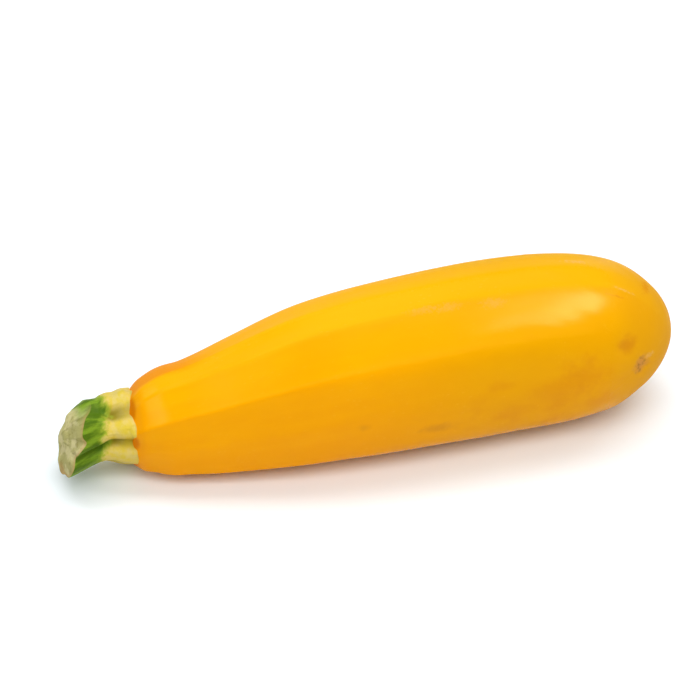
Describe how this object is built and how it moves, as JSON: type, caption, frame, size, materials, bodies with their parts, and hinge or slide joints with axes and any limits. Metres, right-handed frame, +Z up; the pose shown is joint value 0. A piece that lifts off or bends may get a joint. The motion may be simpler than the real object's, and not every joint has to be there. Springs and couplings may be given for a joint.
{
  "type": "zucchini",
  "caption": "Whole yellow zucchini lying on its side, club-shaped with faint lengthwise ridges, a round blossom end and a short cut stalk.",
  "frame": {"origin": "on the surface that the zucchini rests on, under the middle of its bounding box", "axes": "+Z up, +X along the fruit from the stalk to the blossom end, the ends of the fruit curve a little towards -Y"},
  "size_m": [0.1786, 0.0532, 0.0503],
  "materials": {
    "skin": "waxy golden yellow skin, satin gloss, a little darker on the underside and paler along the ridges",
    "stalk": "ribbed fibrous stalk, pale yellow at the fruit, green towards the cut, dry beige cut face"
  },
  "bodies": {
    "root": {"fruit": "skin", "stalk": "stalk"}
  },
  "joints": []
}
